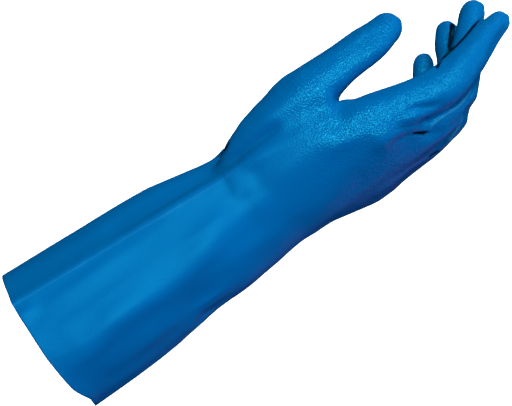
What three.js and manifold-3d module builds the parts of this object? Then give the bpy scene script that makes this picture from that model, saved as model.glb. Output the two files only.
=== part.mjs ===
// Nitrile chemical glove for the right hand, in the form that it takes on a hand: a long gauntlet,
// a cupped palm, a free thumb and four curled fingers. The real glove is dipped in one piece on a
// hand-shaped former, so it is one hollow solid with a single opening, the cuff's mouth.
// Units are millimetres. The origin is the centre of the cuff's mouth. +X runs along the forearm
// to the fingertips, +Y is the way that the palm faces and +Z is the thumb's side.
import * as THREE from "three";
import { mergeVertices } from "three/addons/utils/BufferGeometryUtils.js";
import Module from "manifold-3d";

const WALL = 1.2; // thickness of the dipped skin
const BODY_SIDES = 36; // faces round the gauntlet and palm
const BODY_RINGS = 4; // rings for each row of the body's table
const DIGIT_SIDES = 14; // faces round a thumb or finger
const DIGIT_RINGS = 2; // rings for each row of a digit's table
const TIP_RINGS = 3; // rings that round off a digit's tip
const TIP_FLAT = 0.5; // how flat the tip stays past the last of them, as a share of a ring
const END_RINGS = 2; // rings that round off the palm's far end
const END_LENGTH = 3; // how far those rings reach
const MOUTH_OVERRUN = 4; // how far the hollow runs out past the cuff's edge
const BEND_SPAN = 40; // distance from the middle at which a section has curled by its bend
const MERGE_DISTANCE = 1e-4; // points closer than this are one
const THUMB_SIDE_CURL = 0.3; // how much of that curl the thumb's side has
const FULLEST = 0.6; // how much a full section's corners fill out

// Gauntlet and palm. x, y, z: the section's centre. palm, back, thumb, little: its half sizes
// towards +Y, -Y, +Z and -Z. bend: how far its two sides curl towards the palm. full: how square
// the section is, from 0, an ellipse, to 1. fold: how sharp the pressed edge along the thumb's
// side is, from 0, round, to 1, a straight lens.
const BODY = [
  { x: 0, y: 0, z: 0, palm: 47, back: 45.5, thumb: 39.8, little: 41, bend: 0, full: 0, fold: 0.3 },
  { x: 42, y: 0, z: 0, palm: 46.5, back: 44, thumb: 38, little: 40, bend: 0, full: 0, fold: 0.35 },
  { x: 78, y: 0, z: 0, palm: 44.5, back: 39.5, thumb: 36, little: 38, bend: 0, full: 0, fold: 0.35 },
  { x: 110, y: 0, z: 0, palm: 40, back: 38, thumb: 34, little: 35, bend: 0, full: 0, fold: 0.3 },
  { x: 132, y: 0, z: 0, palm: 36, back: 32.5, thumb: 32.5, little: 33, bend: 0, full: 0, fold: 0.2 },
  { x: 152, y: -1, z: 0, palm: 31, back: 28, thumb: 34, little: 31, bend: 1, full: 0.1, fold: 0.1 },
  { x: 170, y: -4, z: 0, palm: 26, back: 23.5, thumb: 34.5, little: 34, bend: 4, full: 0.25, fold: 0 },
  { x: 189, y: -9.5, z: -2, palm: 22, back: 19.5, thumb: 34, little: 36.5, bend: 9, full: 0.45, fold: 0 },
  { x: 207, y: -13.5, z: -2, palm: 17.5, back: 15.5, thumb: 35, little: 38.5, bend: 13, full: 0.5, fold: 0 },
  { x: 223, y: -16, z: -3, palm: 12, back: 12, thumb: 36, little: 37, bend: 16, full: 0.5, fold: 0 },
  { x: 234, y: -17.5, z: -3, palm: 9, back: 9.5, thumb: 34, little: 34, bend: 17, full: 0.4, fold: 0 },
  { x: 243, y: -18, z: -3, palm: 4, back: 5.5, thumb: 29, little: 28, bend: 16, full: 0.2, fold: 0 },
];

// Long soft folds of the gauntlet. Each runs straight from one place to another, given along x and
// as a turn in degrees from +Y towards +Z. wide: how far out it fades. rise: its height, or depth.
const FOLDS = [
  { x: 22, turn: 120, toX: 125, toTurn: 94, wide: 12, rise: 0.8 },
  { x: 15, turn: 140, toX: 138, toTurn: 121, wide: 13, rise: 1.4 },
  { x: 12, turn: 170, toX: 132, toTurn: 144, wide: 15, rise: -2 },
  { x: 30, turn: 184, toX: 98, toTurn: 180, wide: 13, rise: 1 },
  { x: 70, turn: 76, toX: 142, toTurn: 76, wide: 12, rise: -1.6 },
];

// Thumb, the pad of muscle at its base (thenar), and fingers. x, y, z: a point on the centre line.
// r: the radius there. web: how much further the section reaches towards the palm. The first rows
// lie inside the palm, and the last is the middle of the round tip.
const DIGITS = {
  thumb: [
    { x: 130, y: 6, z: 22, r: 7, web: 1.2 },
    { x: 149, y: 12, z: 32.5, r: 8.3, web: 1.3 },
    { x: 169, y: 14, z: 38, r: 10, web: 1.6 },
    { x: 191, y: 14.5, z: 40, r: 12.2, web: 2 },
    { x: 205, y: 14.5, z: 41.5, r: 11.7, web: 1.3 },
    { x: 219, y: 14.4, z: 42.5, r: 11, web: 1 },
    { x: 236, y: 16.5, z: 42.3, r: 10.3, web: 1 },
    { x: 249.5, y: 19, z: 41, r: 8.2, web: 1 },
  ],
  thenar: [
    { x: 136, y: 8, z: 8, r: 14, web: 1 },
    { x: 158, y: 12, z: 18, r: 16.5, web: 1 },
    { x: 176, y: 11.5, z: 24.5, r: 15, web: 1 },
    { x: 190, y: 5, z: 27.5, r: 12.5, web: 1 },
    { x: 199, y: -4, z: 28, r: 9.5, web: 1 },
  ],
  index: [
    { x: 150, y: -8, z: 15, r: 8, web: 1 },
    { x: 174, y: -11, z: 19.5, r: 11, web: 1 },
    { x: 194, y: -12, z: 23.5, r: 12.4, web: 1 },
    { x: 210, y: -13.5, z: 26.3, r: 12.8, web: 1 },
    { x: 224, y: -16, z: 25.5, r: 12.6, web: 1 },
    { x: 249, y: -19.2, z: 22, r: 11.4, web: 1 },
    { x: 263.5, y: -18.1, z: 21, r: 10.8, web: 1 },
    { x: 281, y: -12, z: 20, r: 9.4, web: 1 },
    { x: 292, y: -6, z: 19.5, r: 8.2, web: 1 },
    { x: 303.7, y: -1.6, z: 19, r: 6.2, web: 1 },
  ],
  middle: [
    { x: 182, y: -12, z: 1, r: 9, web: 1 },
    { x: 206, y: -17.5, z: 2, r: 11.5, web: 1 },
    { x: 226, y: -21, z: 3, r: 12, web: 1 },
    { x: 246, y: -22, z: 3, r: 11.2, web: 1 },
    { x: 265.5, y: -15.1, z: 4, r: 10.4, web: 1 },
    { x: 281.5, y: 4.8, z: 6, r: 8.6, web: 1 },
    { x: 298, y: 25.5, z: 6, r: 6.8, web: 1 },
  ],
  ring: [
    { x: 182, y: -9, z: -11, r: 9, web: 1 },
    { x: 206, y: -13.5, z: -15.5, r: 11.5, web: 1 },
    { x: 232, y: -12.5, z: -19, r: 11.3, web: 1 },
    { x: 251, y: -7, z: -20, r: 10.7, web: 1 },
    { x: 262, y: -1.5, z: -18.5, r: 9.8, web: 1 },
    { x: 272.5, y: 15, z: -10.5, r: 8.2, web: 1 },
    { x: 281.7, y: 33, z: -5, r: 6.7, web: 1 },
  ],
  little: [
    { x: 180, y: -5, z: -22, r: 8, web: 1 },
    { x: 203, y: -4, z: -31, r: 10, web: 1 },
    { x: 222, y: 1, z: -31, r: 10, web: 1 },
    { x: 239, y: 8, z: -27, r: 9, web: 1 },
    { x: 252.5, y: 20, z: -22, r: 7.4, web: 1 },
    { x: 262, y: 32.5, z: -16.5, r: 5.8, web: 1 },
  ],
};
const AWAY_FROM_PALM = new THREE.Vector3(0, 0.75, 0.66); // the side of the thumb that faces out

const { abs, cos, exp, floor, max, min, PI, sign, sin } = Math;

// Catmull-Rom value of one column of a table at a place t, counted in rows.
function column(rows, name, t) {
  const i = min(floor(t), rows.length - 2);
  const u = t - i;
  const at = (k) => rows[max(0, min(rows.length - 1, k))][name];
  const [a, b, c, d] = [at(i - 1), at(i), at(i + 1), at(i + 2)];
  return b + 0.5 * u * (c - a + u * (2 * a - 5 * b + 4 * c - d + u * (3 * (b - c) + d - a)));
}

// A closed tube through rings of points that all have the same count, with a fan over each end.
function loft(rings) {
  const sides = rings[0].length;
  const points = rings.flat();
  const faces = [];
  for (let r = 0; r + 1 < rings.length; r++) {
    for (let s = 0; s < sides; s++) {
      const a = r * sides + s;
      const b = r * sides + ((s + 1) % sides);
      faces.push(a, b, b + sides, a, b + sides, a + sides);
    }
  }
  const ends = [[0, true], [points.length - sides, false]];
  for (const [start, flip] of ends) {
    points.push(middleOf(points.slice(start, start + sides)));
    const middle = points.length - 1;
    for (let s = 0; s < sides; s++) {
      const a = start + s;
      const b = start + ((s + 1) % sides);
      faces.push(...(flip ? [b, a, middle] : [a, b, middle]));
    }
  }
  const geometry = new THREE.BufferGeometry().setFromPoints(points);
  geometry.setIndex(faces);
  return geometry;
}

function middleOf(points) {
  const sum = points.reduce((total, point) => total.add(point), new THREE.Vector3());
  return sum.divideScalar(points.length);
}

// How far the folds push a point of the gauntlet out, at a place along x and a turn in radians.
function foldRise(x, turn, radius) {
  let sum = 0;
  for (const fold of FOLDS) {
    const length = fold.toX - fold.x;
    const along = max(0, min(1, (x - fold.x) / length));
    const middle = THREE.MathUtils.degToRad(fold.turn + (fold.toTurn - fold.turn) * along);
    const aside = (turn - middle) * radius;
    const beyond = x - fold.x - along * length;
    sum += fold.rise * exp(-2 * (aside ** 2 + beyond ** 2) / fold.wide ** 2);
  }
  return sum;
}

// One section of the gauntlet or palm at place t in the table, made smaller by inset.
function bodySection(t, inset) {
  const v = (name) => column(BODY, name, t);
  const power = 1 - FULLEST * v("full");
  const ring = [];
  for (let s = 0; s < BODY_SIDES; s++) {
    const a = (2 * PI * s) / BODY_SIDES;
    const half = (cos(a) > 0 ? v("palm") : v("back")) - inset;
    const across = sign(cos(a)) * abs(cos(a)) ** power * half;
    const round = sign(sin(a)) * abs(sin(a)) ** power;
    const lens = 1 - abs(a - PI / 2) / (PI / 2);
    const height = sin(a) > 0 ? round * (1 - v("fold")) + lens * v("fold") : round;
    const z = height * ((sin(a) > 0 ? v("thumb") : v("little")) - inset);
    const curl = v("bend") * (z > 0 ? THUMB_SIDE_CURL : 1) * (z / BEND_SPAN) ** 2;
    const rise = foldRise(v("x"), a, v("thumb"));
    const y = v("y") + across + curl + rise * cos(a);
    ring.push(new THREE.Vector3(v("x"), y, v("z") + z + rise * sin(a)));
  }
  return ring;
}

// The gauntlet and palm, rounded off at the far end. With an inset it runs out past the mouth.
function bodyTube(inset) {
  const rings = [];
  if (inset) rings.push(bodySection(0, inset).map((point) => point.setX(-MOUTH_OVERRUN)));
  for (let k = 0; k <= (BODY.length - 1) * BODY_RINGS; k++) {
    rings.push(bodySection(k / BODY_RINGS, inset));
  }
  const last = rings.at(-1);
  const centre = middleOf(last);
  for (let k = 1; k <= END_RINGS; k++) {
    const a = (k / (END_RINGS + 1)) * (PI / 2);
    const ahead = (END_LENGTH - inset) * sin(a);
    rings.push(last.map((point) => centre.clone().lerp(point, cos(a)).setX(point.x + ahead)));
  }
  return loft(rings);
}

// The points of one section round a digit at frame f, with radius r, some way ahead of it.
function digitSection(f, r, ahead) {
  const ring = [];
  for (let s = 0; s < DIGIT_SIDES; s++) {
    const a = (2 * PI * s) / DIGIT_SIDES;
    const out = r * cos(a) * (cos(a) < 0 ? f.web : 1);
    const point = f.at.clone().addScaledVector(f.tangent, ahead);
    ring.push(point.addScaledVector(f.side, out).addScaledVector(f.up, r * sin(a)));
  }
  return ring;
}

// A round tube along a digit's centre line with a round tip.
function digitTube(rows, inset) {
  const places = rows.map((row) => new THREE.Vector3(row.x, row.y, row.z));
  const line = new THREE.CatmullRomCurve3(places, false, "centripetal");
  const count = (rows.length - 1) * DIGIT_RINGS;
  const frames = [];
  let side = AWAY_FROM_PALM;
  for (let k = 0; k <= count; k++) {
    const tangent = line.getTangent(k / count);
    side = side.clone().addScaledVector(tangent, -side.dot(tangent)).normalize();
    const up = tangent.clone().cross(side);
    const r = column(rows, "r", k / DIGIT_RINGS) - inset;
    const web = column(rows, "web", k / DIGIT_RINGS);
    frames.push({ at: line.getPoint(k / count), tangent, side, up, r, web });
  }
  const rings = frames.map((f) => digitSection(f, f.r, 0));
  const tip = frames.at(-1);
  for (let k = 1; k <= TIP_RINGS; k++) {
    const a = (k / (TIP_RINGS + TIP_FLAT)) * (PI / 2);
    rings.push(digitSection(tip, tip.r * cos(a), tip.r * sin(a)));
  }
  return loft(rings);
}

const wasm = await Module();
wasm.setup();

function solidFrom(geometry) {
  const merged = mergeVertices(geometry, MERGE_DISTANCE);
  return new wasm.Manifold(
    new wasm.Mesh({
      numProp: 3,
      vertProperties: merged.attributes.position.array,
      triVerts: new Uint32Array(merged.index.array),
    }),
  );
}

function geometryFrom(solid) {
  const mesh = solid.getMesh();
  const geometry = new THREE.BufferGeometry();
  geometry.setAttribute("position", new THREE.BufferAttribute(mesh.vertProperties, 3));
  geometry.setIndex(new THREE.BufferAttribute(mesh.triVerts, 1));
  return geometry;
}

// The whole hand's outer form, or with an inset its hollow.
function handForm(inset) {
  const digits = Object.values(DIGITS).map((rows) => solidFrom(digitTube(rows, inset)));
  return digits.reduce((sum, digit) => sum.add(digit), solidFrom(bodyTube(inset)));
}

const nitrile = new THREE.MeshStandardMaterial({ color: 0x0a6cb4, roughness: 0.45, metalness: 0 });
const skin = new THREE.Mesh(geometryFrom(handForm(0).subtract(handForm(WALL))), nitrile);
skin.name = "glove_skin";

const glove = new THREE.Group();
glove.add(skin);
export default glove;
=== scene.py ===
# %% [markdown]
# # A long dipped nitrile glove
#
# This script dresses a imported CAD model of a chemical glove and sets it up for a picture.
# The glove is one piece of blue nitrile rubber, made by dipping a hand-shaped former, so the
# whole object is one soft skin. The steps are:
#
# 1. Set up the camera, because the folds are placed through it.
# 2. Take the outer side of the CAD skin, remesh it into even squares and smooth it.
# 3. Sculpt the fullness and the folds that a worn glove shows.
# 4. Cut the cuff's mouth and give the skin its thickness.
# 5. Make the pebbled nitrile.
# 6. Lay the floor and set the lights.

# %% [markdown]
# ## Load the frame
#
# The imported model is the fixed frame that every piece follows. Its box is kept, because the
# visual model has to stay the same size as the CAD model.

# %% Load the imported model
import math

import bmesh
import bpy
import numpy as np
from mathutils import Matrix, Vector
from mathutils.bvhtree import BVHTree


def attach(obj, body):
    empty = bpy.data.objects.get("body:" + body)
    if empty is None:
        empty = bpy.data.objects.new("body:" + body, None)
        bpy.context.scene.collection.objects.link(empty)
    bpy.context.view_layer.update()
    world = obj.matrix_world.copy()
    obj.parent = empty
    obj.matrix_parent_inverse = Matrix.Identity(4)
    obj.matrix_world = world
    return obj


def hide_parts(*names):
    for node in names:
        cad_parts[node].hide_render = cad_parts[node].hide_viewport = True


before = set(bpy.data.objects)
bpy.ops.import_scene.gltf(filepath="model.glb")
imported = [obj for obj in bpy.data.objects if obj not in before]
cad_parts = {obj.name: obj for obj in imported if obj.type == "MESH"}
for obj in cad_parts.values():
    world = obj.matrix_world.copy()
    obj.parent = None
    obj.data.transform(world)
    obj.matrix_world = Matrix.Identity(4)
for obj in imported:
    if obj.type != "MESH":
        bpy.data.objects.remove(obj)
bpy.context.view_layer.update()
cad_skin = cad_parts["glove_skin"]
MM = 0.001

# %% [markdown]
# ## The camera comes first
#
# The camera looks from the photograph's side, a little more than a metre away. It is made
# before the glove, because a fold is easiest to place where the picture shows it: a line of
# sight through a pixel meets the skin at the very spot.

# %% The camera, at the photograph's angle
ELEVATION = math.radians(50)
ROLL = math.radians(33)
DISTANCE = 1.1  # metres from the glove
IMAGE_WIDTH, IMAGE_HEIGHT = 512, 406
MM_PER_PIXEL = 0.55
SENSOR = 36.0  # mm
aim = Vector((139.5, 0, 0.6)) * MM

back = Vector((0, -math.cos(ELEVATION), math.sin(ELEVATION)))
level_up = back.cross(Vector((1, 0, 0)))
right = math.cos(ROLL) * Vector((1, 0, 0)) - math.sin(ROLL) * level_up
up = math.sin(ROLL) * Vector((1, 0, 0)) + math.cos(ROLL) * level_up
turn = Matrix((right, up, back)).transposed()

camera_data = bpy.data.cameras.new("camera")
camera_data.sensor_width = SENSOR
camera_data.lens = SENSOR * DISTANCE / (IMAGE_WIDTH * MM_PER_PIXEL * MM)
camera = bpy.data.objects.new("camera", camera_data)
camera.matrix_world = Matrix.Translation(aim + back * DISTANCE) @ turn.to_4x4()
bpy.context.scene.collection.objects.link(camera)
bpy.context.scene.camera = camera
print("lens in mm:", round(camera_data.lens, 1))


def look_through(x, y):
    """The direction in which a pixel of the photograph is seen."""
    across = (x - IMAGE_WIDTH / 2) * MM_PER_PIXEL * MM
    down = (y - IMAGE_HEIGHT / 2) * MM_PER_PIXEL * MM
    return (right * across - up * down - back * DISTANCE).normalized()

# %% [markdown]
# ## The outer side of the skin
#
# The CAD solid has an outer side, an inner side and a rim between them. Only the outer side is
# needed here: the rim's faces go, and of the two shells that are left the wider one stays. Its
# open edge is drawn out past the mouth and closed, so that the remesh sees a closed body and
# rounds nothing off where the cuff will be cut.

# %% Take the outer shell of the CAD skin
OVERRUN = 12 * MM
SAME_PLACE = 0.001 * MM
RIM_DEPTH = 0.01 * MM  # the rim's points lie this near the plane of the mouth


def joined_to(first):
    """All points that hang together with the first one."""
    found, search = {first}, [first]
    while search:
        vert = search.pop()
        for edge in vert.link_edges:
            other = edge.other_vert(vert)
            if other not in found:
                found.add(other)
                search.append(other)
    return found


def outer_shell(source):
    """A copy of the solid without its inner side and its rim."""
    shell = bmesh.new()
    shell.from_mesh(source.data)
    bmesh.ops.remove_doubles(shell, verts=shell.verts, dist=SAME_PLACE)
    rim = [f for f in shell.faces if all(abs(v.co.x) < RIM_DEPTH for v in f.verts)]
    bmesh.ops.delete(shell, geom=rim, context="FACES")
    keep = joined_to(max(shell.verts, key=lambda v: v.co.y))
    inner = [v for v in shell.verts if v not in keep]
    bmesh.ops.delete(shell, geom=inner, context="VERTS")
    return shell


shell = outer_shell(cad_skin)
mouth = [e for e in shell.edges if e.is_boundary]
drawn = bmesh.ops.extrude_edge_only(shell, edges=mouth)["geom"]
drawn_verts = [g for g in drawn if isinstance(g, bmesh.types.BMVert)]
bmesh.ops.translate(shell, verts=drawn_verts, vec=(-OVERRUN, 0, 0))
bmesh.ops.holes_fill(shell, edges=[e for e in shell.edges if e.is_boundary])
bmesh.ops.recalc_face_normals(shell, faces=shell.faces)
print("outer shell:", len(shell.faces), "faces, mouth of", len(mouth), "edges")

# %% [markdown]
# Rubber doesn't follow every hollow under it: it is stretched from one high place to the next,
# most of all over the back of the hand. A convex hull bridges hollows in the same way, so the
# outward points of three overlapping stretches are copied and wrapped in a hull each.

# %% Stretch the rubber taut over the hollows of the hand's back
OUTWARD = Vector((0, -0.64, 0.77))
TURNED_OUTWARD = 0.25  # least share of a point's normal that goes outward
TAUT = [  # low and high corner in mm of the stretch of skin that is pulled tight
    ((146, -40, 0), (204, 18, 60)),
    ((150, -40, -16), (236, 0, 40)),
    ((170, -40, -36), (230, 4, 10)),
]
shell.normal_update()
whole = list(shell.verts)
for low, high in TAUT:
    held = [v for v in whole if v.normal.dot(OUTWARD) > TURNED_OUTWARD
            and all(low[k] * MM < v.co[k] < high[k] * MM for k in range(3))]
    copies = bmesh.ops.duplicate(shell, geom=held)["geom"]
    hull = bmesh.ops.convex_hull(shell, input=copies)
    loose = [g for g in hull["geom_interior"] if isinstance(g, bmesh.types.BMVert)]
    bmesh.ops.delete(shell, geom=loose, context="VERTS")
    print("stretched over", len(held), "points")

# %% [markdown]
# The hulls and the shell cut through each other and their triangles are long and thin. A voxel
# remesh makes one surface of even squares from them, which can be smoothed and sculpted like
# clay. Squares of 1.8 mm hold the fingers' roundness and keep the mesh light. The remesh can
# leave a crumb where two walls nearly touch, so only what hangs together with the fingertips
# is kept.

# %% Remesh it into even squares
VOXEL = 1.8 * MM

skin_mesh = bpy.data.meshes.new("nitrile_skin")
shell.to_mesh(skin_mesh)
shell.free()
skin = bpy.data.objects.new("nitrile_skin", skin_mesh)
bpy.context.scene.collection.objects.link(skin)


def apply_modifiers(piece):
    """Replaces the piece's mesh by what its modifiers make of it."""
    graph = bpy.context.evaluated_depsgraph_get()
    made = bpy.data.meshes.new_from_object(piece.evaluated_get(graph))
    piece.modifiers.clear()
    old, piece.data = piece.data, made
    bpy.data.meshes.remove(old)
    made.name = piece.name


remesh = skin.modifiers.new("even squares", "REMESH")
remesh.mode = "VOXEL"
remesh.voxel_size = VOXEL
apply_modifiers(skin)

squares = bmesh.new()
squares.from_mesh(skin.data)
keep = joined_to(max(squares.verts, key=lambda v: v.co.x))
crumbs = [v for v in squares.verts if v not in keep]
bmesh.ops.delete(squares, geom=crumbs, context="VERTS")
squares.to_mesh(skin.data)
squares.free()
print("remeshed:", len(skin.data.polygons), "faces, points of crumbs removed:", len(crumbs))

# %% [markdown]
# ## Smoothing
#
# From here on the skin is worked like a lump of clay, point by point. The points are read into
# arrays in millimetres, because steps on whole arrays are quick and the numbers stay readable.

# %% Work on the points as arrays, in millimetres
def read_points(mesh):
    """The mesh's points in mm, one row each."""
    flat = np.empty(3 * len(mesh.vertices))
    mesh.vertices.foreach_get("co", flat)
    return flat.reshape(-1, 3) / MM


def write_points(mesh, points):
    """Moves the mesh's points to the given rows."""
    mesh.vertices.foreach_set("co", (points * MM).ravel())
    mesh.update()


def read_normals(mesh):
    """The way that the skin faces at each point."""
    flat = np.empty(3 * len(mesh.vertices))
    mesh.vertex_normals.foreach_get("vector", flat)
    return flat.reshape(-1, 3)


def read_edges(mesh):
    """The numbers of each edge's two points."""
    flat = np.empty(2 * len(mesh.edges), dtype=np.int32)
    mesh.edges.foreach_get("vertices", flat)
    return flat.reshape(-1, 2)


def towards_neighbours(points, edges):
    """How far each point is from the middle of its neighbours."""
    count = len(points)
    ends = np.concatenate([edges[:, 0], edges[:, 1]])
    others = np.concatenate([edges[:, 1], edges[:, 0]])
    near = np.bincount(ends, minlength=count)[:, None]
    total = np.stack([np.bincount(ends, points[others, k], count) for k in range(3)], 1)
    return total / np.maximum(near, 1) - points


print("points to work on:", len(read_points(skin.data)))

# %% [markdown]
# A plain smooth pulls every point to the middle of its neighbours and thins the fingers. Each
# second step here pushes back by a little more, which keeps the widths and only takes away the
# flat facets of the CAD model. The places where fingers meet the palm get a plain smooth
# afterwards, since dipped rubber runs into a soft fillet there.

# %% Smooth without thinning
PULL = 0.5
PUSH_BACK = 0.51
REACH = 1.6  # radii to where the soft edge of a smoothed place ends


def smooth(points, edges, rounds, push_back=0.0, weight=1.0):
    """Pulls the points to the middle of their neighbours and pushes them back."""
    for _ in range(rounds):
        points = points + PULL * weight * towards_neighbours(points, edges)
        if push_back:
            points = points - push_back * weight * towards_neighbours(points, edges)
    return points


def smooth_near(points, edges, place, radius, rounds):
    """Smooths the points round a place and leaves the rest, with a soft edge between."""
    away = np.linalg.norm(points - place, axis=1)
    near = away < REACH * radius
    inside = edges[near[edges].all(axis=1)]
    number = np.cumsum(near) - 1
    weight = np.exp(-((away[near] / radius) ** 2))[:, None]
    smoothed = points.copy()
    smoothed[near] = smooth(points[near], number[inside], rounds, weight=weight)
    return smoothed


# %% Smooth the facets away and soften the roots of the fingers
ROUNDS = 40
SOFT_PLACES = [  # x, y, z, radius in mm, and rounds of plain smoothing
    (204, 4, 38, 10, 16),    # web between thumb and index finger
    (140, 6, 26, 16, 30),    # where the thumb leaves the wrist
    (236, -19, 14, 9, 16),   # between index and middle finger
    (238, -16, -8, 9, 16),   # between middle and ring finger
    (226, -6, -26, 9, 16),   # between ring and little finger
]

points = read_points(skin.data)
edges = read_edges(skin.data)
points = smooth(points, edges, ROUNDS, PUSH_BACK)
for *place, radius, rounds in SOFT_PLACES:
    points = smooth_near(points, edges, place, radius, rounds)
write_points(skin.data, points)
print("smoothed, box in mm:", points.min(0).round(1), points.max(0).round(1))

# %% [markdown]
# ## Fullness and folds
#
# A glove in use is filled out, so its skin is tight and smooth, with a few folds where it is
# pressed or bent. A cloth simulation would have to fill it again and would fold it elsewhere.
# The skin is pushed in or out by code instead, as a sculpting brush does, each time along a path.
#
# The first paths make places along the outline a little fuller or slimmer than the CAD solid.
# They lie on the edge of the view, where a line of sight only grazes the skin, so their paths
# are given in millimetres.

# %% Make some stretches fuller or slimmer
# rows: width of the stretch in mm, path of places x, y, z in mm and what is added there in mm
FULLNESS = {
    "upper side of the cuff": (20, [
        (0, 35, 24, 0.8), (50, 36, 21, 0.8), (75, 35, 20, 1.5), (93, 34, 19, 2),
        (110, 31, 20, 0.9), (124, 29, 20, 0)]),
    "lower side of the cuff": (20, [
        (0, -40, -20, 1.6), (40, -38, -20, 1.2), (62, -36, -20, 1.2), (76, -35, -19, 0.3),
        (86, -36, -14, -2.0), (103, -35, -13, -1.8), (112, -32, -16, -0.5), (120, -30, -18, 0)]),
    "ball of the hand": (14, [
        (121, -30, -17, 0), (131, -27, -18, 1), (150, -24, -19, 0.6), (158, -22, -21, 1),
        (170, -23, -21, 0)]),
    "little finger's knuckle": (10, [(198, -21, -30, 1), (206, -21, -29, 1)]),
    "back of the knuckles": (10, [
        (176, -24, -22, 0), (184, -24, -23, -0.6), (192, -25, -24, -0.7), (199, -23, -27, 0)]),
    "ring finger's knuckle": (8, [
        (208, -23, -26, 0), (215, -24, -23, -0.5), (222, -24, -21, -0.8), (231, -23, -23, -0.3)]),
    "wrist behind the thumb": (6, [(133, 24, 23, 0.3), (137, 26, 23, 1.9), (141, 25, 25, 4.3)]),
    "thumb's root": (6, [(139, 22, 28, 0.8), (142, 18, 34, 0.8), (148, 17, 39, 0)]),
    "thumb's knuckle": (9, [(183, 22, 49, 1), (188, 22, 49, 1)]),
    "thumb's inner side": (12, [
        (213, 5, 36, 0.5), (228, 7, 36, 0.7), (242, 10, 37, 1.3), (249, 12, 38, 0.6)]),
    "thumb's tip": (9, [(253, 23, 47, 1.2), (258, 19, 42, 1.4)]),
    "side of the web": (5, [(206, 0, 39, -1.0), (208, 0.8, 40.5, -0.9), (211, 0.9, 42.5, -0.5)]),
    "edge of the web": (4, [
        (204.5, -3, 36, 0), (206.5, -4, 35.5, 1.2), (209.5, -4.5, 35.5, 1.2), (213, -6, 36, 0)]),
    "index finger's upper side": (9, [
        (210, -7, 37, 0), (216, -9, 37, -1.2), (224, -11, 37, -1.7), (243, -13, 33, -0.9),
        (252, -13, 31, 0)]),
    "index finger's lower side": (8, [
        (280, -21, 17, 0), (288, -18, 18, -0.6), (296, -13, 18, -0.3)]),
    "middle finger's root": (5, [(257, -29, 2, 0), (262.5, -27, 0, -2.4), (267, -24, -1, -0.6)]),
    "ring finger's knuckle, upper end": (5, [
        (258, -15, -25, 0), (262, -13, -25, 0.8), (265, -12, -24, 0)]),
    "middle finger's tip": (8, [(301, 29, 10, 0.8), (305, 26, 8, 1.2)]),
    "ring finger's tip": (8, [(284, 36, 1, 0.6), (288, 30, 4, 1.6)]),
    "ring finger's inner side": (6, [(270, 28, -5, 1), (273, 29, -3, 1)]),
    "little finger's tip": (8, [(258, 33, -13, 0.6), (266, 36, -13, 1.2)]),
    "ring finger's outer side": (7, [(256, -14, -26, 1), (262, -12, -25, 0.8)]),
}


def follow(points, path, leap=np.inf):
    """Each point's distance from a path, and the path's last column at its nearest place.

    A step longer than the leap goes from one finger to another and is left out.
    """
    best = np.full(len(points), np.inf)
    share = np.zeros(len(points))
    path = np.array(path)
    for start, end in zip(path[:-1], path[1:]):
        step = end[:3] - start[:3]
        if np.linalg.norm(step) > leap:
            continue
        along = np.clip((points - start[:3]) @ step / (step @ step), 0, 1)
        away = np.linalg.norm(points - start[:3] - along[:, None] * step, axis=1)
        nearer = away < best
        best[nearer] = away[nearer]
        share[nearer] = (start[3] + (end[3] - start[3]) * along)[nearer]
    return best, share


def bell(away, width):
    """One on the path, and faded to about a seventh at the width."""
    return np.exp(-2 * (away / width) ** 2)


points = read_points(skin.data)
for width, path in FULLNESS.values():
    away, rise = follow(points, path)
    points += read_normals(skin.data) * (rise * bell(away, width))[:, None]
    write_points(skin.data, points)
print("filled out", len(FULLNESS), "stretches")

# %% [markdown]
# The visible folds are charted in the photograph's pixels. Each path is walked in small steps, a
# few rounds of averaging take the corners out of it, and every step is thrown from the camera
# onto the skin. There are four shapes of fold:
#
# - A round one fades like a bell.
# - A facing one does too, but it goes straight towards the viewer, which changes the slopes and
#   leaves the outline where it is.
# - A pressed one leaves an edge along its path: it falls off with the square of the distance,
#   which cancels the roundness of the cuff and leaves two flat planes that meet.
# - A turned one falls off in the same way but goes away from the viewer. Laid along the outline,
#   it turns the skin away there, as the real glove's rounder edges do.

# %% Throw a path onto the skin
STEP = 2.5  # pixels
LEAP = 9  # mm between two steps that lie on different fingers
ROUNDINGS = 4


def on_skin(mesh, path):
    """The path's places on the skin in mm, with its share of the height in a fourth column."""
    shape = bmesh.new()
    shape.from_mesh(mesh)
    tree = BVHTree.FromBMesh(shape)
    shape.free()
    corners = np.array(path, dtype=float)
    lengths = np.hypot(*np.diff(corners[:, :2], axis=0).T)
    run = np.concatenate([[0], np.cumsum(lengths)])
    stops = np.linspace(0, run[-1], max(2, round(run[-1] / STEP)))
    flat = np.stack([np.interp(stops, run, column) for column in corners.T], axis=1)
    for _ in range(ROUNDINGS):
        flat[1:-1] = (flat[:-2] + 2 * flat[1:-1] + flat[2:]) / 4
    places = []
    for x, y, share in flat:
        hit = tree.ray_cast(camera.matrix_world.translation, look_through(x, y))[0]
        if hit:
            places.append((*(hit / MM), share))
    return places


def fold(points, normals, shape, width, height, places):
    """The points with one fold of the given shape pushed in or out."""
    away, share = follow(points, places, LEAP)
    if shape in ("pressed", "turned"):
        profile = np.maximum(1 - away / width, 0) ** 2
    else:
        profile = bell(away, width)
    ways = np.array(back) if shape in ("facing", "turned") else normals
    return points + ways * (height * profile * share)[:, None]


# %% [markdown]
# The broad folds are the large soft forms: the ridge along the back, the ball and the root of
# the thumb, the knuckles, and on the loose cuff a soft edge and the slopes beside it. They come
# one after another, because each one's path lies on the skin that the last one left.

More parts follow.
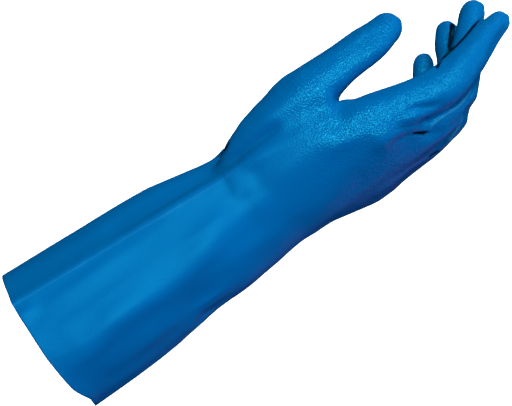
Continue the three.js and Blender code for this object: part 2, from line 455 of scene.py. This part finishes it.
# %% Broad folds
# rows: shape, width and height in mm, path of pixels x, y and the share of the height there
BROAD_FOLDS = {
    "ridge of the hand's back": ("round", 12, 1.5, [
        (213, 228, 0.3), (240, 205, 0.5), (262, 185, 0.7), (285, 165, 1), (315, 142, 1),
        (345, 130, 0.8), (375, 118, 0.4), (390, 111, 0)]),
    "hollow below the ridge, on the cuff": ("round", 7, -1.3, [
        (220, 216, 0), (233, 207, 0.6), (245, 199, 1), (262, 188, 0.6), (280, 172, 0)]),
    "crest below the crease": ("round", 5, 0.2, [
        (180, 247, 0), (198, 234, 1), (214, 223, 1), (226, 213, 0)]),
    "wrist below the ridge": ("facing", 14, 1.2, [
        (226, 182, 0), (234, 178, 1), (246, 180, 0.8), (256, 178, 0)]),
    "valley under the thumb": ("round", 5, -2.7, [
        (205, 180, 0), (222, 168, 0.4), (236, 158, 0.9), (253, 145, 1), (266, 135, 1),
        (276, 128, 0.4), (281, 124, 0)]),
    "ridge beside the valley": ("round", 7, 2.6, [
        (150, 222, 0), (165, 213, 0.2), (205, 191, 0.3), (222, 182, 0.5), (240, 171, 1),
        (255, 160, 1), (272, 150, 0.6), (300, 135, 0.3), (312, 127, 0)]),
    "soft edge along the cuff": ("round", 10, 2.5, [
        (60, 376, 0), (84, 355, 0.6), (113, 323, 1), (141, 305, 1), (165, 292, 1),
        (188, 273, 1), (205, 255, 1), (226, 236, 0.4), (262, 212, 0.3), (280, 195, 0)]),
    "lower side of the cuff": ("round", 10, -1.8, [
        (82, 402, 0), (102, 385, 0.6), (130, 366, 0.9), (155, 349, 1), (178, 328, 0.8),
        (198, 303, 0.3), (221, 284, 0.4), (243, 265, 0.8), (265, 252, 0.6), (285, 238, 0)]),
    "upper side, near the outline": ("round", 9, 0.6, [
        (10, 278, 0.7), (60, 253, 0.9), (100, 229, 1), (133, 207, 1), (160, 191, 0.9),
        (185, 180, 0)]),
    "upper side, above the crease": ("round", 7, 0.3, [
        (5, 299, -1), (50, 274, -0.6), (88, 250, 0), (115, 232, 0.6), (150, 208, 1.3),
        (175, 193, 1.3), (195, 181, 0)]),
    "roll below the crease": ("round", 6, 1.0, [
        (35, 310, 0), (60, 296, 0.7), (92, 275, 1), (115, 258, 0.8), (140, 243, 0.3),
        (160, 230, 0)]),
    "hollow below the roll": ("round", 6, -0.4, [
        (45, 330, 0), (60, 318, 1), (82, 304, 1), (105, 286, 0.8), (137, 265, 0.6),
        (165, 250, 0)]),
    "dent in the rim": ("round", 6, 1.4, [(20, 318, 1), (30, 311, 0.8), (40, 305, 0)]),
    "ball of the thumb": ("round", 9, 2.4, [
        (240, 141, 0), (252, 131, 0.5), (268, 119, 0.9), (288, 105, 0.7), (303, 96, 0.5),
        (320, 84, 0.4), (335, 77, 0)]),
    "flat outer side of the thumb": ("round", 8, -1.8, [
        (300, 80, 0), (325, 62, 0.8), (347, 50, 1), (362, 40, 1), (378, 28, 0.4), (386, 20, 0)]),
    "full inner side of the thumb": ("round", 6, 1.8, [
        (322, 108, 0), (333, 94, 1), (352, 74, 0.7), (374, 58, 1), (390, 42, 1), (396, 28, 0.8),
        (392, 18, 0)]),
    "flat top of the index finger": ("round", 10, -2.5, [
        (318, 134, 0), (338, 127, 0.7), (360, 118, 0.9), (383, 108, 1), (405, 97, 0.9),
        (430, 85, 0.7), (448, 72, 0.5), (458, 58, 0)]),
    "knuckle of the index finger": ("round", 10, 2.6, [
        (305, 222, 0), (322, 203, 0.4), (345, 173, 0.4), (364, 151, 0.4), (381, 140, 1),
        (394, 132, 0.8), (407, 126, 0.4), (420, 120, 0)]),
    "hollow under the knuckle": ("round", 6, -0.4, [
        (335, 205, 0), (350, 193, 1), (375, 173, 1), (400, 153, 1), (412, 146, 0)]),
    "hollow beside the long slit": ("round", 5, -2.2, [
        (423, 138, 0.4), (430, 136, 1), (436, 133, 0.6)]),
    "root of the middle finger": ("round", 4, 1.4, [
        (436, 117, 0), (445, 108, 1), (458, 97, 1), (470, 85, 0.8), (480, 70, 0)]),
    "flank of the cuff": ("facing", 12, -2.2, [
        (95, 392, 0.5), (106, 380, 0.8), (132, 365, 1), (159, 347, 1), (183, 325, 1),
        (197, 302, 1), (221, 289, 0.9), (254, 271, 1), (280, 250, 0)]),
    "middle of the flank": ("facing", 8, -1.1, [
        (112, 366, 0), (130, 350, 0.6), (142, 341, 0.8), (154, 332, 0.8), (172, 318, 1),
        (185, 308, 1), (196, 299, 1.2), (208, 290, 1), (222, 280, 0.6), (238, 268, 0)]),
    "lower edge of the cuff": ("turned", 14, -2.8, [
        (95, 403, 1), (108, 394, 1), (130, 379, 1), (154, 361, 1), (176, 343, 0.9),
        (188, 332, 0.5), (198, 324, 0)]),
    "upper plane of the cuff": ("facing", 18, 1.6, [
        (60, 238, 0), (100, 216, 0.7), (140, 193, 1), (170, 179, 1), (200, 166, 1),
        (212, 160, 0.6), (220, 153, 0)]),
    "upper edge of the cuff": ("turned", 6, -0.8, [
        (10, 272, 0.6), (60, 242, 0.8), (110, 211, 1), (140, 194, 1), (170, 180, 1),
        (200, 167, 1), (212, 161, 0)]),
    "outer edge of the thumb": ("turned", 6, -1.8, [
        (236, 130, 0), (250, 112, 1), (270, 91, 1), (290, 74, 0.8), (320, 55, 0.8), (340, 42, 1),
        (360, 28, 1), (375, 19, 1), (385, 14, 0.8), (394, 17, 0.6), (399, 24, 0)]),
    "upper edge of the index finger": ("turned", 6, -1.0, [
        (350, 101, 0.6), (370, 96, 1), (390, 90, 1), (411, 82, 1), (425, 77, 1), (437, 70, 1),
        (448, 59, 1), (460, 48, 1), (470, 38, 1), (484, 23, 0.8), (490, 17, 0.4)]),
    "tip of the index finger": ("turned", 7, -2.4, [
        (489, 17, 0.4), (497, 13, 1), (503, 13, 1), (507, 17, 1), (507, 24, 1), (504, 30, 1),
        (500, 36, 1), (494, 44, 1), (490, 52, 0.6), (485, 62, 0)]),
    "tip of the middle finger": ("turned", 5, -1.8, [
        (461, 9, 0.4), (466, 4, 0.8), (474, 2, 1), (480, 4, 1), (483, 8, 1), (483, 14, 0.6)]),
    "brim of the flank": ("facing", 7, 4.2, [
        (181, 343, 0), (192, 333, 0.5), (205, 319, 1), (216, 309, 1), (227, 301, 0.8),
        (238, 292, 0.4), (248, 284, 0)]),
    "web beside the thumb": ("facing", 8, -1.8, [
        (333, 99, 0.2), (338, 103, 1), (346, 105, 0.6), (356, 106, 0)]),
    "valley towards the web": ("facing", 8, -1.8, [
        (304, 113, 0), (318, 109, 0.7), (330, 106, 1), (341, 104, 0.4)]),
    "thumb's root, outer side": ("facing", 10, -1.6, [
        (238, 132, 0), (248, 120, 0.8), (262, 104, 1), (276, 90, 0.8), (290, 78, 0.4), (300, 74, 0)]),
    "slope of the thumb's outer side": ("facing", 5, -1.4, [
        (300, 72, 0), (323, 52, 1), (343, 39, 1), (361, 27, 1), (377, 17, 0)]),
    "slope of the thumb's inner side": ("facing", 5, 0.7, [
        (322, 100, 0), (330, 92, 0.6), (341, 82, 1), (357, 68, 1), (372, 54, 0.8), (384, 42, 0)]),
    "crest of the knuckle": ("facing", 8, 1.7, [
        (371, 149, 0), (382, 144, 1), (395, 138, 0.6), (405, 132, 0)]),
    "side of the knuckle": ("facing", 14, 2.8, [
        (358, 176, 0), (368, 168, 0.5), (378, 160, 0.7), (387, 154, 1), (398, 148, 0.7),
        (410, 142, 0)]),
    "upper crest of the index finger": ("facing", 5, 0.6, [
        (340, 122, 0), (352, 119, 0.8), (372, 113, 1), (392, 104, 1), (405, 98, 0.5), (415, 93, 0)]),
    "crest beside the index finger": ("facing", 6, 0.6, [
        (322, 150, 0), (342, 145, 1), (360, 139, 1), (378, 134, 1), (390, 127, 0.5), (398, 122, 0)]),
    "below the index finger": ("facing", 7, 2, [
        (403, 127, 0), (415, 122, 0.8), (429, 116, 1), (442, 109, 1), (451, 101, 1),
        (460, 93, 1), (469, 80, 0.6), (477, 65, 0)]),
    "thumb's base beside the web": ("facing", 8, 1.5, [
        (319, 96, 0), (325, 92, 0.5), (333, 88, 1), (341, 82, 0.7), (349, 75, 0)]),
    "thumb's tip, inner side": ("facing", 6, 1.1, [
        (366, 62, 0), (374, 55, 0.6), (381, 49, 1), (388, 40, 1), (391, 30, 0)]),
    "below the knuckle": ("facing", 10, 3.8, [
        (372, 198, 0), (384, 190, 0.7), (397, 181, 1), (409, 171, 1), (420, 163, 0.6),
        (430, 156, 0)]),
    "ring finger's knuckle, outer side": ("facing", 5, 3.2, [
        (412, 168, 0), (420, 163, 0.7), (429, 158, 1), (441, 149, 1), (451, 140, 1),
        (460, 130, 0.7), (465, 122, 0)]),
}
for name, (shape, width, height, path) in BROAD_FOLDS.items():
    places = on_skin(skin.data, path)
    points = fold(points, read_normals(skin.data), shape, width, height, places)
    write_points(skin.data, points)
    print(name, "-", len(places), "steps")

# %% [markdown]
# The narrow folds are the pressed crease along the cuff, the slits and edges at the knuckles and
# the dark lines where two fingers touch. A tone goes with each fold, for the material to read: a
# pressed edge gets a painted highlight, a paler colour along it, and a slit or a gap between
# fingers gets painted shade, a nearly black colour.

# %% Chart the narrow folds
# rows: shape, width and height in mm, tone, path of pixels x, y and the share of the height there;
# a tone above zero paints a highlight, one below zero paints shade
CREASE = [
    (0, 312.8, 1), (13, 305, 1), (60, 276.9, 1), (110, 247, 1.05), (140, 229, 1.25),
    (165, 214.1, 1.4), (200, 193.2, 1.3), (222, 180, 1), (238, 168, 0.5), (250, 158, 0)]
NARROW_FOLDS = {
    "pressed crease": ("pressed", 17, 2.0, 0, CREASE),
    "edge of the crease": ("pressed", 1.2, 0.15, 0.05, CREASE),
    "groove over the knuckle": ("round", 3, -1.1, 0, [
        (404, 110, 0), (414, 108, 1), (430, 107, 1), (447, 102, 0)]),
    "ridge under the groove": ("round", 3, 0.7, 0, [
        (396, 123, 0), (408, 118.5, 1), (416, 116.5, 1), (430, 113, 1), (441, 107.5, 0)]),
    "groove of the index finger": ("round", 2.2, -0.7, -0.1, [
        (392, 130.5, 0), (402, 128.5, 0.6), (412, 126.3, 1), (421, 123.8, 1), (433, 119.8, 1),
        (445, 113.3, 1), (452, 108.4, 1), (460, 101, 0.5), (467, 92, 0)]),
    # the slits and the groove before them carry painted shade, nearly black
    "soft start of the long slit": ("round", 3.5, -0.7, -0.3, [
        (388, 148, 0), (396, 141, 1), (405, 136, 1), (412, 133.5, 0.5), (418, 133, 0)]),
    "long slit": ("pressed", 2.2, -2.8, -2.4, [
        (411, 134.6, 0), (415, 134, 0.6), (419, 133.7, 1), (424, 133.6, 1), (428, 133.3, 1),
        (430, 132.8, 0)]),
    # the edges of the middle and ring finger carry a painted highlight
    "edge of the middle finger": ("pressed", 2.2, 0.7, 0.15, [
        (428.5, 131, 0), (430.5, 128, 0.6), (436, 121.2, 1), (444.5, 115.7, 1), (454.5, 109.5, 1),
        (463.3, 101.6, 1), (469.5, 93, 0.7), (473, 85, 0)]),
    "hollow under the middle finger's edge": ("round", 4, -0.7, -0.1, [
        (436, 136, 0), (443, 131, 0.7), (452, 125.5, 1), (460, 118, 0.8), (466, 110, 0)]),
    "edge of the ring finger": ("pressed", 2.6, 0.8, 0.25, [
        (446, 144, 0), (450, 138.5, 1), (454.5, 131.5, 1), (459, 125.5, 1), (462.5, 119.5, 0.7),
        (464.5, 114, 0)]),
    "short slit": ("pressed", 2.2, -2.2, -4, [
        (428, 158, 0), (431, 156, 0.7), (434, 154.3, 1), (437.5, 152.4, 1)]),
    # painted shade in the gaps between fingers and behind the thumb; the folds under it are shallow
    "gap beside the ring finger": ("pressed", 3.0, -0.8, -2.8, [
        (452.6, 22, 1), (451.8, 30, 1), (451, 38, 1), (450.2, 44, 1), (449.4, 50, 1),
        (448.6, 55, 1)]),
    "gap beside the middle finger": ("pressed", 2.4, -0.4, -4, [
        (454.4, 20, 1), (453, 28, 1), (452, 36, 1), (451, 44, 1), (450.4, 50, 1), (450, 53, 1)]),
    "shade beside the index finger": ("round", 2, -0.3, -2, [
        (485, 15, 0), (474, 25.5, 0.8), (463.8, 38, 1), (454.3, 47.4, 1), (446.8, 54.4, 1),
        (441, 60, 1), (438.5, 63.5, 1), (437, 67, 1)]),
    "pleat behind the thumb": ("round", 2.8, -0.2, -2.4, [
        (219, 157, 0), (222.5, 153.3, 1), (225, 149.5, 0.9), (227.5, 145, 0.6), (230.5, 140.5, 0)]),
}
print("narrow folds:", len(NARROW_FOLDS))

# %% [markdown]
# Squares of 1.8 mm are too coarse for a slit, and finer ones all over would be a heavy mesh. So
# only the faces near the narrow folds are divided, those nearest to them twice. A short smooth
# takes away the flat facets that the division leaves.

# %% Divide the faces near the narrow folds
SPLIT_REACHES = (3.8, 2.2)  # mm on each side of a path, first and second time
SPLIT_ROUNDS = 6


def split_near(mesh, paths, reach):
    """Divides each face near the paths into four."""
    finer = bmesh.new()
    finer.from_mesh(mesh)
    centres = np.array([f.calc_center_median() for f in finer.faces]) / MM
    near = np.min([follow(centres, path, LEAP)[0] for path in paths], axis=0) < reach
    faces = [f for f, close in zip(finer.faces, near) if close]
    edges = list({e for f in faces for e in f.edges})
    bmesh.ops.subdivide_edges(finer, edges=edges, cuts=1, use_grid_fill=True)
    finer.to_mesh(mesh)
    finer.free()
    return len(faces)


paths = [on_skin(skin.data, row[-1]) for row in NARROW_FOLDS.values()]
for reach in SPLIT_REACHES:
    print("faces split:", split_near(skin.data, paths, reach))
points = smooth(read_points(skin.data), read_edges(skin.data), SPLIT_ROUNDS, PUSH_BACK)
write_points(skin.data, points)

# %% Push the narrow folds in and note their tones
TONE_WIDTH = 0.5  # of the fold's own width

# a tone above zero paints a highlight along a fold, one below zero paints shade
tones = np.zeros(len(points))
for name, (shape, width, height, tone, path) in NARROW_FOLDS.items():
    places = on_skin(skin.data, path)
    away, share = follow(points, places, LEAP)
    tones += tone * share * bell(away, TONE_WIDTH * width)
    points = fold(points, read_normals(skin.data), shape, width, height, places)
    write_points(skin.data, points)
skin.data.attributes.new("fold_highlight_and_shade", "FLOAT", "POINT").data.foreach_set("value", tones)
print("tones from", tones.min().round(2), "to", tones.max().round(2))

# %% [markdown]
# ## Cut the mouth and thicken the skin
#
# The cuff's edge is cut after dipping, so it is a clean edge without a bead. Until here the skin
# is a closed body that reaches past the mouth, and one flat cut opens it.

# %% Cut the cuff's mouth
cut = bmesh.new()
cut.from_mesh(skin.data)
everything = list(cut.verts) + list(cut.edges) + list(cut.faces)
bmesh.ops.bisect_plane(cut, geom=everything, plane_co=(0, 0, 0), plane_no=(-1, 0, 0),
                       clear_outer=True)
cut.to_mesh(skin.data)
cut.free()
print("opened at x = 0:", len(skin.data.polygons), "faces left")

# %% [markdown]
# The real edge isn't quite flat: a loose cuff bends into a slow wave. So the points near the
# mouth are pushed in by a table that runs once round it, and the push dies out along the cuff.

# %% Let the edge wave
EDGE_TURN = [0, 34, 92, 142, 173, 190, 215, 242, 270, 320, 360]  # degrees from +Y towards +Z
EDGE_IN = [0.5, 0, 0.6, 1.4, 3.2, 7, 5.4, 3.2, 3.6, 2, 0.5]  # mm
FADE = 40  # mm from the mouth to where the wave has died out

points = read_points(skin.data)
turn_angle = np.degrees(np.arctan2(points[:, 2], points[:, 1])) % 360
points[:, 0] += np.interp(turn_angle, EDGE_TURN, EDGE_IN) * np.maximum(1 - points[:, 0] / FADE, 0)
write_points(skin.data, points)
print("edge lies in by", min(EDGE_IN), "to", max(EDGE_IN), "mm")

# %% [markdown]
# A dipped skin is about half a millimetre thick. A Solidify modifier gives it a wall inwards, so
# the outer side stays as it is. The wall is drawn twice as thick as the real one, so that the
# edge of the mouth shows. Then the piece is hung on the root body, and the CAD solid that it
# stands for is hidden.

# %% Give the skin its thickness
WALL = 1.0 * MM

thickness = skin.modifiers.new("dipped skin", "SOLIDIFY")
thickness.thickness = WALL
thickness.offset = -1
apply_modifiers(skin)
skin.data.shade_smooth()
print("skin:", len(skin.data.polygons), "faces")

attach(skin, "root")
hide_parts("glove_skin")

# %% [markdown]
# ## Materials
#
# Nitrile is a rubber that is coloured all through, so its colour is even and it hides what is
# under it. Dipping leaves a fine pebbled grain and a soft, slightly greasy gloss: no mirror, but
# a broad glow that breaks into sparkles where the light is strongest. All of it is procedural
# and sits on Object coordinates, so it stays in its place on the skin in every view.

# %% Helpers for colours and nodes
MIX_A, MIX_B, MIX_RESULT = 6, 7, 2  # the colour sockets of a Mix node


def srgb(code):
    """A hex colour as the linear numbers that shaders take."""
    values = [int(code[k:k + 2], 16) / 255 for k in (1, 3, 5)]
    linear = [v / 12.92 if v <= 0.04045 else ((v + 0.055) / 1.055) ** 2.4 for v in values]
    return (*linear, 1.0)


def add_node(tree, kind, settings=None, **links):
    """Adds a node, sets its properties and inputs, and links the inputs that are given sockets."""
    node = tree.nodes.new(kind)
    for name, value in (settings or {}).items():
        if name in node.bl_rna.properties:
            setattr(node, name, value)
        else:
            node.inputs[name].default_value = value
    for name, socket in links.items():
        tree.links.new(socket, node.inputs[name.replace("_", " ")])
    return node


print("white in linear numbers:", srgb("#FFFFFF"))

# %% [markdown]
# The pebbles are a noise of about their size, used as bump. They break the glow into sparkles on
# the stretched hand and are faint on the loose cuff. A slower and shallower noise stands for the
# unevenness of the dipped film, which keeps the glow from looking drawn.

# %% The pebbled grain of the nitrile
HAND_START, HAND_END = 165 * MM, 192 * MM  # along X, where the cuff's skin turns into the hand's
PEBBLE = 0.9 * MM  # a little coarser than the real pebbles, so that they show in the picture
PEBBLE_HEIGHT = 0.45 * MM
CUFF_GRAIN, HAND_GRAIN = 0.2, 1.0
RIPPLE = 5 * MM
RIPPLE_HEIGHT = 0.1 * MM

nitrile = bpy.data.materials.new("dipped_blue_nitrile")
nitrile.use_nodes = True
tree = nitrile.node_tree
tree.nodes.clear()

place = add_node(tree, "ShaderNodeTexCoord").outputs["Object"]
along = add_node(tree, "ShaderNodeSeparateXYZ", Vector=place).outputs["X"]
hand = add_node(tree, "ShaderNodeMapRange",
                {"From Min": HAND_START, "From Max": HAND_END}, Value=along).outputs["Result"]
strength = add_node(tree, "ShaderNodeMapRange",
                    {"To Min": CUFF_GRAIN, "To Max": HAND_GRAIN}, Value=hand)
pebbles = add_node(tree, "ShaderNodeTexNoise",
                   {"Scale": 1 / PEBBLE, "Detail": 1.0, "Roughness": 0.4}, Vector=place)
grain = add_node(tree, "ShaderNodeBump", {"Distance": PEBBLE_HEIGHT},
                 Height=pebbles.outputs["Fac"], Strength=strength.outputs["Result"])
ripples = add_node(tree, "ShaderNodeTexNoise", {"Scale": 1 / RIPPLE, "Detail": 2.0}, Vector=place)
relief = add_node(tree, "ShaderNodeBump", {"Strength": 0.4, "Distance": RIPPLE_HEIGHT},
                  Height=ripples.outputs["Fac"], Normal=grain.outputs["Normal"])
print("pebbles of", PEBBLE / MM, "mm")

# %% [markdown]
# The colour is painted a little lighter along the pressed edges, a painted highlight, and nearly
# black in the slits and the gaps between fingers, a painted shade where hardly any light comes out
# again. The stretched hand is smoother and glossier than the loose cuff, so its glow is brighter
# and narrower.

# %% The colour and gloss of the nitrile
NITRILE_BLUE = "#005B97"
# a paler blue paints a highlight along pressed edges, a nearly black one paints shade in slits and
# gaps
PAINTED_HIGHLIGHT_BLUE = "#4FB8E8"
PAINTED_SHADE_BLUE = "#000D24"
GLOSS_TINT = "#2AD4F5"  # the gloss of the coloured film is blue too
CUFF_ROUGHNESS, HAND_ROUGHNESS = 0.5, 0.34
CUFF_GLOSS, HAND_GLOSS = 0.42, 0.8

tone = add_node(tree, "ShaderNodeAttribute", {"attribute_name": "fold_highlight_and_shade"}).outputs["Fac"]
# painted highlight: above zero the fold tone mixes in a paler blue along pressed edges
painted_highlight = add_node(tree, "ShaderNodeMix", {"data_type": "RGBA"}, Factor=tone)
painted_highlight.inputs[MIX_A].default_value = srgb(NITRILE_BLUE)
painted_highlight.inputs[MIX_B].default_value = srgb(PAINTED_HIGHLIGHT_BLUE)
# painted shade: below zero the fold tone mixes in a nearly black blue, in slits and gaps
painted_shade = add_node(tree, "ShaderNodeMapRange", {"From Max": -1.0}, Value=tone)
coloured = add_node(tree, "ShaderNodeMix", {"data_type": "RGBA"}, Factor=painted_shade.outputs["Result"])
coloured.inputs[MIX_B].default_value = srgb(PAINTED_SHADE_BLUE)
tree.links.new(painted_highlight.outputs[MIX_RESULT], coloured.inputs[MIX_A])

roughness = add_node(tree, "ShaderNodeMapRange",
                     {"To Min": CUFF_ROUGHNESS, "To Max": HAND_ROUGHNESS}, Value=hand)
gloss = add_node(tree, "ShaderNodeMapRange", {"To Min": CUFF_GLOSS, "To Max": HAND_GLOSS}, Value=hand)
rubber = add_node(tree, "ShaderNodeBsdfPrincipled",
                  {"Specular Tint": srgb(GLOSS_TINT)}, Base_Color=coloured.outputs[MIX_RESULT],
                  Roughness=roughness.outputs["Result"],
                  Specular_IOR_Level=gloss.outputs["Result"], Normal=relief.outputs["Normal"])
add_node(tree, "ShaderNodeOutputMaterial", Surface=rubber.outputs["BSDF"])
skin.data.materials.clear()
skin.data.materials.append(nitrile)
print("nitrile:", len(tree.nodes), "nodes")

# %% [markdown]
# ## Floor and light
#
# The photograph's ground is plain white without a shadow. So the floor is white paper that glows
# evenly, far enough below the glove to catch no shadow of it, and it doesn't light the glove.

# %% The floor
FLOOR_SIZE = 4  # metres from its middle to its edge
FLOOR_DROP = 0.5  # metres below the glove

floor_shape = bmesh.new()
bmesh.ops.create_grid(floor_shape, x_segments=1, y_segments=1, size=FLOOR_SIZE)
bmesh.ops.translate(floor_shape, verts=floor_shape.verts, vec=(0, 0, -FLOOR_DROP))
floor_mesh = bpy.data.meshes.new("floor")
floor_shape.to_mesh(floor_mesh)
floor_shape.free()
floor = bpy.data.objects.new("floor", floor_mesh)
bpy.context.scene.collection.objects.link(floor)

paper = bpy.data.materials.new("white_paper")
paper.use_nodes = True
sheet = paper.node_tree.nodes["Principled BSDF"]
sheet.inputs["Base Color"].default_value = srgb("#FFFFFF")
sheet.inputs["Roughness"].default_value = 0.9
sheet.inputs["Emission Color"].default_value = srgb("#FFFFFF")
sheet.inputs["Emission Strength"].default_value = 1.0
floor_mesh.materials.append(paper)
floor.visible_glossy = False
floor.visible_diffuse = False
print("floor at", -FLOOR_DROP, "m")

# %% [markdown]
# A key light near the camera gives the glow and the sparkles on the ridges. Five large fills,
# which don't show in the gloss, set how bright each side is: strong from above, a little blue
# from below, where the skin is darkest and bluest. One violet light low behind the glove shows
# only in its gloss and tints the lower edges.

# %% The lights
def add_light(name, direction, distance, size, power, colour):
    """An area light that looks at the glove from a direction in the camera's own axes."""
    data = bpy.data.lights.new(name, "AREA")
    data.shape = "DISK"
    data.size = size
    data.energy = power
    data.color = srgb(colour)[:3]
    way = (right * direction[0] + up * direction[1] + back * direction[2]).normalized()
    lamp = bpy.data.objects.new(name, data)
    spot = aim + way * distance
    lamp.matrix_world = Matrix.Translation(spot) @ way.to_track_quat("Z", "Y").to_matrix().to_4x4()
    bpy.context.scene.collection.objects.link(lamp)
    return lamp


FAR, NEAR = 2.6, 1.6  # metres from the glove
SMALL, LARGE = 0.5, 1.2  # metres across
FILLS = [  # name, direction to the right, up and towards the camera, distance, watts, colour
    ("left_fill", (-1, -0.6, 0.2), FAR, 10, "#FFFFFF"),
    ("right_fill", (1, 0, 0.4), NEAR, 15, "#F4F4FF"),
    ("top_fill", (0.4, 0.87, 0.3), FAR, 58, "#FFFFFF"),
    ("back_fill", (0.2, 1, -0.5), FAR, 16, "#FFFFFF"),
    ("low_fill", (0.1, -0.7, 0.7), FAR, 15, "#B8B8FF"),
]
add_light("key", (-0.06, 0.26, 0.97), FAR, SMALL, 57, "#FFFFFF")
for name, direction, distance, power, colour in FILLS:
    fill = add_light(name, direction, distance, LARGE, power, colour)
    fill.visible_glossy = False
violet = add_light("violet_rim", (0.64, -0.56, -0.52), FAR, LARGE, 3, "#E030FF")
violet.visible_diffuse = False
print("lights: a key, a violet one and", len(FILLS), "fills")

# %% [markdown]
# The surroundings are white where the camera sees them and almost dark for the glove, so they
# don't wash out its shades. The Standard view keeps white paper white.

# %% The surroundings
HAZE = 0.02

world = bpy.data.worlds.new("studio")
bpy.context.scene.world = world
world.use_nodes = True
studio = world.node_tree
studio.nodes.clear()

seen = add_node(studio, "ShaderNodeBackground", {"Color": srgb("#FFFFFF"), "Strength": 1.0})
ray = add_node(studio, "ShaderNodeLightPath")
haze = add_node(studio, "ShaderNodeMapRange", {"To Max": HAZE}, Value=ray.outputs["Is Diffuse Ray"])
lit = add_node(studio, "ShaderNodeBackground", {"Color": srgb("#B0D0FF")},
               Strength=haze.outputs["Result"])
either = add_node(studio, "ShaderNodeMixShader", Fac=ray.outputs["Is Camera Ray"])
studio.links.new(lit.outputs["Background"], either.inputs[1])
studio.links.new(seen.outputs["Background"], either.inputs[2])
add_node(studio, "ShaderNodeOutputWorld", Surface=either.outputs["Shader"])
bpy.context.scene.view_settings.view_transform = "Standard"
print("surroundings:", len(studio.nodes), "nodes")
